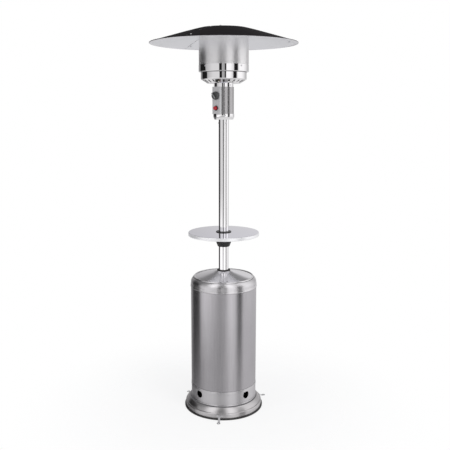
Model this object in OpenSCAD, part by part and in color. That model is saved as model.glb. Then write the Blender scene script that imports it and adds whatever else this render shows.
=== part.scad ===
// Free-standing gas infrared heater: a reflector over a burner head on a pole, with a table
// that slides on the pole and a tank housing that lifts off its base ring.
// Z is up, the floor is at z = 0 and the pole stands on the Z axis.

/* [Base] */
// Radius of the edge ring that the heater stands on
base_r = 230; // [220:1:250]
// Height of the edge ring
edge_ring_h = 9; // [8:0.5:14]
// Thickness of the weighted base plate
base_plate_t = 8; // [5:0.5:10]
// Height of the skirt's upright lip above the floor
skirt_lip_z = 29; // [28:0.5:36]
// Height of the top of the skirt above the floor
skirt_top_z = 65; // [60:0.5:80]
// Thickness of the skirt's sheet
skirt_wall = 1; // [0.8:0.1:1.6]

/* [Anchor brackets] */
// Distance of the three ground screw holes outside the edge ring
anchor_reach = 38; // [30:1:55]
// Radius of each ground screw hole
anchor_hole_r = 4; // [3:0.25:5]
// Thickness of the bracket strip
anchor_t = 2; // [1.5:0.25:3]

/* [Tank housing] */
// Outer radius of the vent band and of the sleeve
housing_r = 190; // [184:1:200]
// Thickness of the housing's sheet
housing_wall = 1; // [0.8:0.1:1.4]
// Height of the vent band
band_h = 81.5; // [70:0.5:110]
// Number of vent holes round the band
vent_holes = 4; // [2:1:8]
// Radius of each vent hole
vent_hole_r = 21.5; // [10:0.5:26]
// Height of the sleeve
sleeve_h = 598.5; // [560:0.5:640]
// Rise of the cap's middle above the top of the sleeve
cap_rise = 75; // [66:0.5:88]
// Radius of the rounded shoulder of the cap
cap_shoulder_r = 47; // [40:0.5:52]

/* [Tank bay] */
// Radius of each leg tube
leg_r = 11; // [8:0.5:12]
// Height of the post socket's plate above the floor
socket_z = 700; // [660:1:720]

/* [Pole] */
// Outer radius of the pole
pole_r = 28.5; // [24:0.25:31]
// Wall of the pole
pole_wall = 1.5; // [1:0.1:2.5]
// Height of the top of the pole above the floor
pole_top_z = 1680; // [1620:1:1760]

/* [Table] */
// Radius of the table
table_r = 202.5; // [150:0.5:260]
// Height of the table top above the floor
table_z = 1045; // [1030:1:1200]
// Height of the table's rim
table_rim_h = 19; // [12:0.5:26]
// Thickness of the table's sheet
table_wall = 1.2; // [0.8:0.1:2]
// Height of the grip nut under the table
nut_h = 52; // [44:0.5:60]
// Radius of the grip nut at its widest
nut_r = 43; // [40:0.5:50]

/* [Control housing] */
// Radius of the control housing
case_r = 56; // [52:0.5:62]
// Height of the control housing above its cup
case_h = 146; // [130:0.5:170]
// Thickness of the control housing's sheet
case_wall = 1.2; // [0.8:0.1:1.6]
// Direction that the control panel faces, in degrees from +X
panel_angle = -130; // [-180:1:180]
// Distance of the panel's face from the pole's axis
panel_d = 65.5; // [64:0.5:72]
// Half width of the panel
panel_w = 26.5; // [25:0.5:30]
// Height of the knob's axis above the bottom of the panel
knob_h = 98; // [92:0.5:104]
// Height of the igniter's axis above the bottom of the panel
igniter_h = 31; // [28:0.5:40]
// Radius of the knob's skirt
knob_r = 22.5; // [16:0.5:25]
// Radius of the igniter button
button_r = 10; // [7:0.25:10.5]

/* [Burner head] */
// Radius of the polished neck under the bowl
neck_r = 53; // [50:0.5:54]
// Height of the neck
neck_h = 19; // [12:0.5:24]
// Radius of the burner bowl
bowl_r = 126.5; // [115:0.5:132]
// Height of the burner bowl
bowl_h = 63.2; // [56:0.1:74]
// Number of air slots in the bowl
bowl_slots = 24; // [12:1:36]
// Radius of the emitter band
band_r = 138; // [136:0.5:150]
// Height of the emitter band
emitter_band_h = 38; // [30:0.5:60]
// Height of the perforated emitter screen
screen_h = 196; // [160:0.5:240]
// Thickness of the head's sheet
head_wall = 1; // [0.8:0.1:1.2]

/* [Reflector] */
// Outer radius of the reflector
reflector_r = 406.5; // [360:0.5:450]
// Rise of the reflector from its rim to its flat top
reflector_rise = 79; // [50:0.5:110]
// Radius of the reflector's flat top
flat_r = 132; // [120:0.5:140]
// Thickness of each reflector panel
reflector_wall = 1.2; // [0.8:0.1:1.6]
// Direction of the first of the three seams, in degrees from +X
seam_angle = 1; // [-60:1:60]
// Height of the spacers between the emitter and the reflector
spacer_h = 29; // [20:0.5:45]

/* [Hidden] */
$fn = 96;
small_fn = 32;

// Clearances: a running fit, a loose slide and a nested pair of sheets
run_gap = 0.05;
slide_gap = 0.4;
nest_gap = 0.2;

// Colours
stainless = [0.72, 0.72, 0.74];
polished = [0.82, 0.82, 0.84];
zinc = [0.80, 0.80, 0.80];
brass = [0.76, 0.60, 0.28];
black = [0.07, 0.07, 0.08];
charcoal = [0.14, 0.13, 0.14];
red = [0.70, 0.08, 0.10];

// Heights in the base and the housing, from the floor up
ledge_t = 3;
plate_top_z = ledge_t + base_plate_t;
skirt_r = base_r - 6.5;
anchor_circle_r = base_r + anchor_reach;
lip_round_r = 7;
band_z = skirt_top_z;
sleeve_z = band_z + band_h;
sleeve_top_z = sleeve_z + sleeve_h;
cap_top_z = sleeve_top_z + cap_rise;
vent_angle = 43;
vent_z = band_z + 0.6 * band_h;
tongue_h = 13;

// The legs and the post socket
leg_circle_r = housing_r - leg_r - 8;
leg_wall = 1.5;
leg_bend_r = 60;
leg_z = socket_z - leg_r;
leg_angles = [30, 150, 270];
leg_inner_r = 36;
foot_t = 4;
foot_w = 58;
foot_d = 20;
foot_bolt_y = 21;
socket_plate_t = 6;
socket_plate_r = 62;
collar_h = 64;
collar_r = pole_r + 3.5;
post_z = socket_z + socket_plate_t;
socket_bolt_r = 48;
union_r = 9;

// The table's hub
hub_tube_r = pole_r + 4.5;
hub_flange_t = 6;
hub_shoulder_h = 24;
hub_shoulder_r = nut_r - 3;
flange_ring_h = 4;
flange_ring_r = nut_r + 1;
nut_top_z = table_z - table_wall - hub_flange_t - hub_shoulder_h - slide_gap;
nut_z = nut_top_z - nut_h;

// Heights in the head, from the top of the pole up
cup_wall = 2.2;
cup_r = case_r + nest_gap + cup_wall;
cup_h = 31;
cup_taper_h = 15;
case_z = pole_top_z + cup_h;
case_top_z = case_z + case_h;
knob_z = case_z + knob_h;
igniter_z = case_z + igniter_h;
bowl_z = case_top_z + neck_h;
bowl_wall = 1.2;
deck_z = bowl_z + bowl_h;
flange_z = deck_z - bowl_wall;
deck_t = 2;
band_foot_r = 3;
screen_r = band_r - head_wall - nest_gap;
screen_z = deck_z + deck_t;
emitter_top_z = screen_z + screen_h + head_wall;
spigot_h = 50;
spigot_r = pole_r - pole_wall - nest_gap;
spigot_wall = 2;

// The control panel and what it carries, measured outwards from the pole's axis
panel_t = 1.2;
panel_back_d = panel_d - panel_t;
stem_r = 4;
stem_end_d = panel_d + 12;
knob_gap = 4.2;
knob_depth = 20;
knob_angle = 40;
valve_d = [22, 52];
valve_w = 30;
valve_hi = 14;
bonnet_r = 11;
piezo_r = 8;
barrel_r = button_r + 1.5;
barrel_d = 48;
bezel_t = 3.8;
bezel_r = barrel_r + 2.5;
button_out = 14;
lead_x = 42;
lead_r = 1.6;
pilot_x = 95;
pilot_gap = 12;
neck_hole_r = 48;
mixer_r = 16;

// The reflector's surface: a flat top, then a slightly rounded cone down to the rim
reflector_z = emitter_top_z + spacer_h + reflector_wall;
rim_z = reflector_z - reflector_rise;
rim_bead_r = 2.4;
cone_power = 1.06;
cone_steps = 14;
seam_drop = reflector_wall + 0.1;
seam_lap = 4;
seam_jog = 0.6;
seam_gap = 0.15;
hub_r = 82;
hub_t = 1.5;
stud_circle_r = 100;
stud_angle = 20;
stud_r = 3;
spacer_r = 6;
seam_screw_rs = [hub_r - 18, flat_r + 20, reflector_r - 46.5];

// Screws
m5_r = 2.5;
m8_r = 4;

// Points of an arc from angle a0 to a1 about [x, y]
function arc(x, y, r, a0, a1, steps = 6) =
    [for (i = [0:steps]) let (a = a0 + (a1 - a0) * i / steps) [x + r * cos(a), y + r * sin(a)]];

// Unit normal to the left of the line from a to b
function left_of(a, b) = let (v = b - a) [-v[1], v[0]] / norm(v);

// Point i of an outline, moved by w to the left of the lines that meet there
function moved(p, i, w) =
    let (n = len(p),
         a = i > 0 ? left_of(p[i - 1], p[i]) : left_of(p[0], p[1]),
         b = i < n - 1 ? left_of(p[i], p[i + 1]) : a)
    p[i] + w * (a + b) / (1 + a * b);

// Closed outline of a sheet of thickness w that lies to the left of the path p
function sheet(p, w) = concat(p, [for (i = [len(p) - 1:-1:0]) moved(p, i, w)]);

// Height of the reflector's outer surface at radius r
function cone_share(r) = max(0, (r - flat_r) / (reflector_r - flat_r));
function reflector_height(r) = rim_z + reflector_rise * (1 - pow(cone_share(r), cone_power));
function reflector_slope(r) =
    atan(reflector_rise * cone_power * pow(cone_share(r), cone_power - 1) / (reflector_r - flat_r));

// A pressed sheet: the path is its outer side, drawn so that the sheet lies to the left
module pressed(path, wall) {
    rotate_extrude()
        polygon(sheet(path, wall));
}

module ring(r_out, r_in, z0, z1) {
    rotate_extrude()
        polygon([[r_in, z0], [r_out, z0], [r_out, z1], [r_in, z1]]);
}

// Copies of the children, count times round the Z axis from angle first
module round_z(count, first = 0) {
    for (i = [0:count - 1])
        rotate([0, 0, first + 360 * i / count])
            children();
}

// The panel's own frame: X points out of the panel, the pole's axis is at X = 0
module at_panel() {
    rotate([0, 0, panel_angle])
        children();
}

// A cylinder along X from x0 to x1, at height z
module rod_x(r, x0, x1, z, y = 0) {
    translate([x0, y, z])
        rotate([0, 90, 0])
            cylinder(r = r, h = x1 - x0);
}

// A pan head screw along X: its head's outer face is at x0 + head_h and its shank runs inwards
module screw_x(x0, z, len, r = m5_r, head_r = 4.6, head_h = 2.4) {
    translate([x0, 0, z])
        rotate([0, 90, 0]) {
            translate([0, 0, -len])
                cylinder(r = r, h = len + head_h / 2, $fn = small_fn);
            cylinder(r1 = head_r, r2 = head_r * 0.7, h = head_h, $fn = small_fn);
        }
}

// A hexagon headed bolt along Z: its head stands on z = 0 and its shank runs down
module hex_bolt(r, len, head_h) {
    translate([0, 0, -len])
        cylinder(r = r, h = len + head_h / 2, $fn = small_fn);
    cylinder(r = 1.85 * r, h = head_h, $fn = 6);
}

// A lead or thin pipe of radius r swept along points: a closed body of eight sides
function unit(v) = v / norm(v);
function heading(p, i) =
    unit(unit(p[min(i + 1, len(p) - 1)] - p[min(i, len(p) - 2)])
       + unit(p[max(i, 1)] - p[max(i - 1, 0)]));
function ring_points(p, i, r, sides) =
    let (h = heading(p, i), u = unit(cross(h, [0.31, 0.95, 0.05])), v = cross(h, u))
    [for (k = [0:sides - 1]) let (a = 360 * k / sides) p[i] + r * (cos(a) * u + sin(a) * v)];
module lead(p, r, sides = 8) {
    n = len(p);
    points = [for (i = [0:n - 1]) each ring_points(p, i, r, sides)];
    sides_faces = [for (i = [0:n - 2]) for (k = [0:sides - 1]) let (k2 = (k + 1) % sides) each [
        [i * sides + k, (i + 1) * sides + k2, i * sides + k2],
        [i * sides + k, (i + 1) * sides + k, (i + 1) * sides + k2]]];
    first = [[for (k = [0:sides - 1]) k]];
    last = [[for (k = [sides - 1:-1:0]) (n - 1) * sides + k]];
    polyhedron(points, concat(sides_faces, first, last));
}

// Base: the ring on the floor, the plate on its ledge and the skirt over both
module base_edge_ring() {
    color(black)
        rotate_extrude()
            polygon([
                [base_r - 25, 0], [base_r - 1, 0], [base_r, 1], [base_r, edge_ring_h - 2],
                [base_r - 2, edge_ring_h], [skirt_r + nest_gap, edge_ring_h],
                [skirt_r + nest_gap, ledge_t], [base_r - 25, ledge_t]
            ]);
}

module base_plate() {
    color(black)
        ring(skirt_r - skirt_wall - 0.5, 12, ledge_t, plate_top_z);
}

function skirt_path() = concat(
    [[skirt_r, ledge_t]],
    arc(skirt_r - lip_round_r, skirt_lip_z, lip_round_r, 0, 75),
    [[skirt_r - lip_round_r + 1, skirt_lip_z + lip_round_r - 0.8]],
    [for (i = [0:6]) let (t = i / 6)
        [skirt_r - lip_round_r - 0.5 - t * (skirt_r - lip_round_r - housing_r - 4),
         skirt_lip_z + lip_round_r - 0.5
             + (skirt_top_z - skirt_lip_z - lip_round_r - 0.5) * sin(75 * t) / sin(75)]],
    [[housing_r + 2, skirt_top_z], [housing_r - 6, skirt_top_z]]);

module base_skirt() {
    color(stainless)
        difference() {
            pressed(skirt_path(), skirt_wall);
            round_z(3, anchor_angle)
                for (y = [-anchor_screw_y, anchor_screw_y])
                    rod_x(m5_r + nest_gap, skirt_r - 10, skirt_r + 5, anchor_head_z, y);
        }
}

// Anchor brackets: a cross head on the skirt's lip, a stem over the edge ring and a round pad
anchor_angle = -96;
anchor_head_w = 36;
anchor_head_z = skirt_lip_z - 5;
anchor_head_h = 10;
anchor_stem_w = 12;
anchor_pad_r = 10;
anchor_screw_y = 12;
anchor_r = skirt_r + 0.1;

module anchor_bracket() {
    difference() {
        union() {
            translate([anchor_r + 0.4, -anchor_head_w / 2, anchor_head_z - anchor_head_h / 2])
                cube([anchor_t, anchor_head_w, anchor_head_h]);
            translate([0, anchor_stem_w / 2, 0])
                rotate([90, 0, 0])
                    linear_extrude(anchor_stem_w)
                        polygon(sheet([
                            [anchor_circle_r, 0], [anchor_circle_r - 12, 0],
                            [anchor_r + 0.4, anchor_head_z - anchor_head_h / 2],
                            [anchor_r + 0.4, anchor_head_z]
                        ], -anchor_t));
            translate([anchor_circle_r, 0, 0])
                cylinder(r = anchor_pad_r, h = anchor_t);
        }
        translate([anchor_circle_r, 0, -1])
            cylinder(r = anchor_hole_r, h = anchor_t + 2);
        for (y = [-anchor_screw_y, anchor_screw_y])
            rod_x(m5_r + nest_gap, anchor_r - 5, anchor_r + 10, anchor_head_z, y);
        // The back of the head follows the lip's curve
        translate([0, 0, ledge_t])
            cylinder(r = anchor_r, h = skirt_lip_z - ledge_t);
    }
}

module anchor_brackets() {
    color(zinc)
        round_z(3, anchor_angle)
            anchor_bracket();
}

module anchor_screws() {
    color(zinc)
        round_z(3, anchor_angle)
            for (y = [-anchor_screw_y, anchor_screw_y])
                translate([0, y, 0])
                    screw_x(anchor_r + 0.4 + anchor_t, anchor_head_z, 9, head_r = 3.8, head_h = 2);
}

// Tank housing: the vent band stands on the skirt and the sleeve stands on the band's shoulder
module vent_band() {
    tongue_r = housing_r - housing_wall - 0.5;
    color(stainless)
        difference() {
            pressed([
                [housing_r - 6, band_z], [housing_r + 1.6, band_z], [housing_r + 1.6, band_z + 2.5],
                [housing_r, band_z + 4], [housing_r, sleeve_z], [tongue_r, sleeve_z],
                [tongue_r, sleeve_z + tongue_h]
            ], housing_wall);
            round_z(vent_holes, vent_angle)
                rod_x(vent_hole_r, housing_r - 20, housing_r + 20, vent_z);
        }
}

module housing_sleeve() {
    color(stainless)
        ring(housing_r, housing_r - housing_wall, sleeve_z, sleeve_top_z);
}

module housing_cap() {
    flare_r = housing_r + nest_gap + housing_wall;
    side_r = housing_r - 0.8;
    shoulder_x = side_r - cap_shoulder_r * cos(15);
    shoulder_z = sleeve_top_z + 15 - cap_shoulder_r * sin(15);
    bead_r = 3.5;
    bead_x = shoulder_x + cap_shoulder_r * cos(50) - 5.2;
    bead_z = shoulder_z + cap_shoulder_r * sin(50);
    color(stainless)
        pressed(concat(
            [[flare_r + 0.6, sleeve_top_z - 16], [flare_r + 0.6, sleeve_top_z - 14],
             [flare_r, sleeve_top_z - 12.5], [flare_r, sleeve_top_z + housing_wall],
             [side_r, sleeve_top_z + housing_wall]],
            arc(shoulder_x, shoulder_z, cap_shoulder_r, 15, 50, 8),
            [[bead_x + bead_r + 0.4, bead_z - 0.3]],
            arc(bead_x, bead_z, bead_r, 20, 140, 7),
            [[bead_x - bead_r - 0.8, bead_z + 2.2], [bead_x - bead_r - 3, bead_z + 3],
             [pole_r + 16.5, cap_top_z - 2.5], [pole_r + 13.5, cap_top_z],
             [pole_r + 6.5, cap_top_z]]), housing_wall);
}

module cap_bush() {
    bore_r = pole_r + slide_gap;
    bush_h = 4.5;
    color(black)
        rotate_extrude()
            polygon([
                [bore_r, cap_top_z - 8], [pole_r + 5, cap_top_z - 8],
                [pole_r + 6, cap_top_z - 6], [pole_r + 6, cap_top_z],
                [pole_r + 9.5, cap_top_z], [pole_r + 9.5, cap_top_z + bush_h - 1.5],
                [pole_r + 8, cap_top_z + bush_h], [bore_r, cap_top_z + bush_h]
            ]);
}

// Tank bay: three bent legs carry the post socket over the gas cylinder
module support_leg(angle) {
    color(black)
        rotate([0, 0, angle]) {
            difference() {
                union() {
                    translate([leg_circle_r, 0, plate_top_z + foot_t / 2])
                        cylinder(r = leg_r, h = leg_z - leg_bend_r - plate_top_z - foot_t / 2);
                    translate([leg_circle_r - leg_bend_r, 0, leg_z - leg_bend_r])
                        rotate([90, 0, 0])
                            rotate_extrude(angle = 90)
                                translate([leg_bend_r, 0])
                                    circle(r = leg_r);
                    rod_x(leg_r, leg_inner_r, leg_circle_r - leg_bend_r, leg_z);
                }
                translate([leg_circle_r, 0, plate_top_z + foot_t])
                    cylinder(r = leg_r - leg_wall, h = leg_z - leg_bend_r - plate_top_z - foot_t);
                translate([leg_circle_r - leg_bend_r, 0, leg_z - leg_bend_r])
                    rotate([90, 0, 0])
                        rotate_extrude(angle = 90)
                            translate([leg_bend_r, 0])
                                circle(r = leg_r - leg_wall);
                rod_x(leg_r - leg_wall, leg_inner_r - 1, leg_circle_r - leg_bend_r, leg_z);
                translate([socket_bolt_r, 0, leg_z])
                    cylinder(r = m8_r + nest_gap, h = leg_r + 1, $fn = small_fn);
            }
            difference() {
                translate([leg_circle_r - foot_d / 2, -foot_w / 2, plate_top_z])
                    cube([foot_d, foot_w, foot_t]);
                for (y = [-foot_bolt_y, foot_bolt_y])
                    translate([leg_circle_r, y, plate_top_z - 1])
                        cylinder(r = m8_r + nest_gap, h = foot_t + 2, $fn = small_fn);
            }
        }
}

module leg_foot_bolts() {
    color(zinc)
        for (angle = leg_angles)
            rotate([0, 0, angle])
                for (y = [-foot_bolt_y, foot_bolt_y])
                    translate([leg_circle_r, y, plate_top_z + foot_t])
                        hex_bolt(m8_r, foot_t - 0.3, 5);
}

module post_socket() {
    color(black)
        difference() {
            union() {
                translate([0, 0, socket_z])
                    cylinder(r = socket_plate_r, h = socket_plate_t);
                ring(collar_r, pole_r + nest_gap, socket_z + 1, post_z + collar_h);
            }
            translate([0, 0, socket_z - 1])
                cylinder(r = union_r + nest_gap, h = socket_plate_t + 2);
            for (angle = leg_angles)
                rotate([0, 0, angle]) {
                    translate([socket_bolt_r, 0, socket_z - 1])
                        cylinder(r = m8_r + nest_gap, h = socket_plate_t + 2, $fn = small_fn);
                    rod_x(m5_r + nest_gap, pole_r - 2, collar_r + 2, post_z + collar_h / 2);
                }
        }
}

module socket_bolts() {
    color(zinc)
        for (angle = leg_angles)
            rotate([0, 0, angle])
                translate([socket_bolt_r, 0, post_z])
                    hex_bolt(m8_r, socket_plate_t + leg_wall + 3, 5);
}

// Pole
post_screw_z = pole_top_z - 20;
post_screw_angle = -64;

module post() {
    color(polished)
        difference() {
            ring(pole_r, pole_r - pole_wall, post_z, pole_top_z);
            round_z(3, post_screw_angle)
                rod_x(m5_r + nest_gap, pole_r - 5, pole_r + 2, post_screw_z);
            for (angle = leg_angles)
                rotate([0, 0, angle])
                    rod_x(m5_r + nest_gap, pole_r - 5, pole_r + 2, post_z + collar_h / 2);
        }
}

module post_bolts() {
    color(zinc)
        for (angle = leg_angles)
            rotate([0, 0, angle])
                screw_x(collar_r, post_z + collar_h / 2, 8);
}

// Gas line: a bulkhead union in the socket, a hose up the pole and a bend into the valve
hose_r = 6;
hose_bend_r = 20;
hose_bore_r = 3;
elbow_r = 5;
ferrule_r = 7.5;
hose_nut_r = 10;
hose_nut_h = 12;
hose_nut_z = post_z + 12;
hose_z = hose_nut_z + hose_nut_h;

module inlet_union() {
    color(brass)
        difference() {
            union() {
                translate([0, 0, socket_z - 22])
                    cylinder(r = union_r, h = hose_nut_z - socket_z + 22);
                translate([0, 0, socket_z - 8])
                    cylinder(r = 14, h = 8, $fn = 6);
            }
            translate([0, 0, socket_z - 23])
                cylinder(r = hose_bore_r, h = hose_nut_z - socket_z + 24);
        }
}

module gas_hose() {
    bend_z = knob_z - hose_bend_r;
    color(black) {
        translate([0, 0, hose_z])
            cylinder(r = hose_r, h = bend_z - 10 - hose_z);
        for (z = [hose_z + 4, bend_z - 20])
            translate([0, 0, z])
                cylinder(r = ferrule_r, h = 22);
        at_panel()
            translate([hose_bend_r, 0, bend_z])
                rotate([90, 0, 180])
                    rotate_extrude(angle = 90)
                        translate([hose_bend_r, 0])
                            circle(r = elbow_r);
    }
}

module hose_nuts() {
    color(brass) {
        difference() {
            translate([0, 0, hose_nut_z])
                cylinder(r = hose_nut_r, h = hose_nut_h, $fn = 6);
            translate([0, 0, hose_nut_z - 1])
                cylinder(r = hose_bore_r, h = hose_nut_h + 2);
        }
        at_panel()
            difference() {
                translate([hose_bend_r - 6, 0, knob_z])
                    rotate([0, 90, 0])
                        cylinder(r = hose_nut_r, h = valve_d[0] - hose_bend_r + 6, $fn = 6);
                translate([hose_bend_r, 0, knob_z - hose_bend_r])
                    rotate([90, 0, 180])
                        rotate_extrude(angle = 92)
                            translate([hose_bend_r, 0])
                                circle(r = elbow_r + run_gap);
            }
    }
}

// Table: a pressed top held between a flange ring above and a hub below, with a grip nut
module table_top() {
    bottom_z = table_z - table_rim_h;
    round_r = 4;
    color(stainless)
        pressed(concat(
            [[table_r - 9, bottom_z], [table_r - 3, bottom_z]],
            arc(table_r - 3, bottom_z + 3, 3, -60, 0, 4),
            arc(table_r - round_r, table_z - round_r, round_r, 0, 90, 6),
            [[hub_tube_r + nest_gap, table_z]]), table_wall);
}

module table_hub() {
    under_z = table_z - table_wall;
    color(black)
        rotate_extrude()
            polygon([
                [pole_r + slide_gap, nut_z + 8], [hub_tube_r, nut_z + 8],
                [hub_tube_r, under_z - hub_flange_t - hub_shoulder_h],
                [hub_shoulder_r, under_z - hub_flange_t - hub_shoulder_h],
                [hub_shoulder_r, under_z - hub_flange_t],
                [hub_shoulder_r + 20, under_z - hub_flange_t], [hub_shoulder_r + 20, under_z],
                [hub_tube_r, under_z], [hub_tube_r, table_z + flange_ring_h],
                [pole_r + slide_gap, table_z + flange_ring_h]
            ]);
}

module table_flange_ring() {
    color(black)
        rotate_extrude()
            polygon([
                [hub_tube_r + nest_gap, table_z], [flange_ring_r, table_z],
                [flange_ring_r, table_z + flange_ring_h - 1.5],
                [flange_ring_r - 1.5, table_z + flange_ring_h],
                [hub_tube_r + nest_gap, table_z + flange_ring_h]
            ]);
}

module table_nut() {
    grip_ribs = 20;
    groove_r = 2.2;
    foot_r = pole_r + 6.5;
    foot_z = nut_z + 3;
    color(black)
        difference() {
            rotate_extrude()
                polygon([
                    [pole_r + 0.8, nut_z], [foot_r - 2, nut_z], [foot_r, nut_z + 2], [foot_r, foot_z],
                    [nut_r, nut_z + 24], [nut_r, nut_top_z - 2], [nut_r - 2, nut_top_z],
                    [hub_tube_r + run_gap, nut_top_z], [hub_tube_r + run_gap, nut_z + 7],
                    [pole_r + 0.8, nut_z + 7]
                ]);
            round_z(grip_ribs)
                translate([nut_r + groove_r / 2, 0, nut_z + 16])
                    cylinder(r = groove_r, h = nut_h);
        }
}

// Head socket: a cup with a spigot that stands in the pole
cup_screw_z = case_z - 8;
cup_screw_angle = -82.5;

module head_socket() {
    color(polished)
        difference() {
            union() {
                pressed([
                    [spigot_r - spigot_wall, pole_top_z], [cup_r - 6, pole_top_z],
                    [cup_r, pole_top_z + cup_taper_h], [cup_r, case_z]
                ], cup_wall);
                ring(spigot_r, spigot_r - spigot_wall, pole_top_z - spigot_h, pole_top_z + 1);
            }
            round_z(3, post_screw_angle)
                rod_x(m5_r + nest_gap, spigot_r - 5, spigot_r + 2, post_screw_z);
            round_z(3, cup_screw_angle)
                rod_x(m5_r + nest_gap, cup_r - 8, cup_r + 2, cup_screw_z);
        }
}

// Equal pan head screws: in the pole, in the cup, in the neck and in the emitter band
neck_screw_z = case_top_z + neck_h / 2;
neck_screw_angle = -47;
band_screw_z = deck_z + 27;
band_screw_angle = 43;

module head_screws() {
    color(zinc) {
        round_z(3, post_screw_angle)
            screw_x(pole_r, post_screw_z, 5);
        round_z(3, cup_screw_angle)
            screw_x(cup_r, cup_screw_z, 6);
        round_z(3, neck_screw_angle)
            screw_x(neck_r, neck_screw_z, 5, head_r = 3.6);
        round_z(4, band_screw_angle)
            screw_x(band_r, band_screw_z, 5);
    }
}

// Control housing: a round shell with a slot that the panel's box closes
module case_shell() {
    shell_z = pole_top_z + cup_taper_h + 1;
    color(stainless)
        difference() {
            pressed([[case_r, shell_z], [case_r, case_top_z], [neck_r - 7, case_top_z]], case_wall);
            round_z(3, cup_screw_angle)
                rod_x(m5_r + nest_gap, case_r - 5, case_r + 2, cup_screw_z);
            at_panel()
                translate([0, -panel_w - nest_gap, case_z])
                    cube([case_r + 5, 2 * (panel_w + nest_gap), case_h + 1]);
        }
}

module panel_outline(x0, inset) {
    translate([x0, -panel_w + inset])
        square([panel_d - inset - x0, 2 * (panel_w - inset)]);
}

module control_panel() {
    box_x = neck_r - 7;
    color(stainless)
        at_panel()
            difference() {
                union() {
                    translate([0, 0, case_z])
                        linear_extrude(case_h)
                            difference() {
                                panel_outline(box_x, 0);
                                panel_outline(box_x - 1, panel_t);
                            }
                    for (z = [case_z, case_top_z - panel_t])
                        translate([0, 0, z])
                            linear_extrude(panel_t)
                                difference() {
                                    panel_outline(box_x, 0);
                                    circle(r = neck_r - 4);
                                }
                    // The folded foot of the face
                    translate([panel_d - 1, -panel_w, case_z])
                        cube([2.5, 2 * panel_w, 2.5]);
                }
                rod_x(stem_r + 2, panel_back_d - 2, panel_d + 2, knob_z);
                rod_x(barrel_r + nest_gap, panel_back_d - 2, panel_d + 2, igniter_z);
                for (z = [knob_z - valve_screw_h, knob_z + valve_screw_h])
                    rod_x(1.7, panel_back_d - 2, panel_d + 2, z);
            }
}

// Gas valve: a brass block with a bonnet and a flange that is screwed to the back of the panel
valve_screw_h = 14;
valve_flange_t = 3;

module gas_valve() {
    color(brass)
        at_panel()
            difference() {
                union() {
                    translate([valve_d[0], -valve_w / 2, knob_z - valve_hi])
                        cube([valve_d[1] - valve_d[0], valve_w, 2 * valve_hi]);
                    rod_x(bonnet_r, valve_d[1] - 1, panel_back_d - 1, knob_z);
                    translate([panel_back_d - valve_flange_t, -12, knob_z - 18])
                        cube([valve_flange_t, 24, 36]);
                }
                rod_x(stem_r + run_gap, valve_d[0] + 16, panel_back_d + 1, knob_z);
                for (z = [knob_z - valve_screw_h, knob_z + valve_screw_h])
                    rod_x(1.7, panel_back_d - valve_flange_t - 1, panel_back_d + 1, z);
            }
}

module valve_screws() {
    color(zinc)
        at_panel()
            for (z = [knob_z - valve_screw_h, knob_z + valve_screw_h])
                screw_x(panel_d, z, 7, r = 1.5, head_r = 2.8, head_h = 1.4);
}

// The shaft's D shaped end, grown by gap, from x0 to x1
module shaft_end(x0, x1, gap) {
    difference() {
        rod_x(stem_r + gap, x0, x1, 0);
        translate([x0 - 1, -stem_r - 1, stem_r - 1 + gap])
            cube([x1 - x0 + 2, 2 * stem_r + 2, 3]);
    }
}

module valve_stem() {
    flat_d = panel_d + knob_gap - 3;
    color(brass)
        at_panel() {
            rod_x(stem_r, valve_d[0] + 18, flat_d, knob_z);
            translate([0, 0, knob_z])
                shaft_end(flat_d - 0.5, stem_end_d, 0);
        }
}

module control_knob() {
    back = panel_d + knob_gap;
    grip_h = 7;
    front = back + knob_depth - grip_h;
    grip_w = 8;
    hub_r = 7;
    recess = 6;
    recess_r = knob_r - 4.5;
    color(black)
        at_panel()
            translate([0, 0, knob_z])
                difference() {
                    union() {
                        rotate([0, 90, 0])
                            rotate_extrude()
                                polygon([
                                    [0, back + 1], [hub_r, back + 1], [hub_r, back + recess],
                                    [recess_r, back + recess], [recess_r, back],
                                    [knob_r, back], [knob_r, back + 2.5],
                                    [knob_r - 1.5, back + 3.5], [knob_r - 3.4, front - 1],
                                    [knob_r - 4.4, front], [0, front]
                                ]);
                        rotate([knob_angle, 0, 0])
                            intersection() {
                                translate([front - 3, -grip_w / 2, -knob_r])
                                    cube([grip_h + 3, grip_w, 2 * knob_r]);
                                rotate([0, 90, 0])
                                    translate([0, 0, back])
                                        cylinder(r = knob_r - 4.6, h = 40);
                            }
                    }
                    // The shaft's bore, deep enough for the push
                    shaft_end(back - 1, stem_end_d + 4, run_gap);
                }
}

// Spark igniter: a barrel through the panel, its bezel nut and the push button inside it
module igniter_body() {
    color(black)
        at_panel()
            difference() {
                union() {
                    rod_x(piezo_r, 15, barrel_d + 1, igniter_z);
                    rod_x(barrel_r, barrel_d, panel_d + bezel_t, igniter_z);
                }
                rod_x(button_r + 0.3, barrel_d + 1.5, panel_d + bezel_t + 1, igniter_z);
            }
}

module igniter_bezel() {
    color(black)
        at_panel()
            translate([0, 0, igniter_z])
                rotate([0, 90, 0])
                    rotate_extrude()
                        polygon([
                            [barrel_r + nest_gap, panel_d], [bezel_r, panel_d],
                            [bezel_r, panel_d + bezel_t - 1.5],
                            [bezel_r - 1.5, panel_d + bezel_t], [barrel_r + nest_gap, panel_d + bezel_t]
                        ]);
}

module igniter_button() {
    front = panel_d + button_out;
    color(red)
        at_panel()
            translate([0, 0, igniter_z])
                rotate([0, 90, 0])
                    rotate_extrude()
                        polygon(concat(
                            [[0, barrel_d + 8], [button_r, barrel_d + 8]],
                            arc(button_r - 2, front - 2, 2, 0, 90, 5), [[0, front]]));
}

module tilt_switch() {
    color(black)
        at_panel()
            difference() {
                translate([-case_r + case_wall + 0.9, -8, case_z + 30])
                    cube([16, 16, 34]);
                rod_x(3, -case_r + case_wall + 10, -case_r + case_wall + 20, case_z + 47);
            }
}

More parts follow.
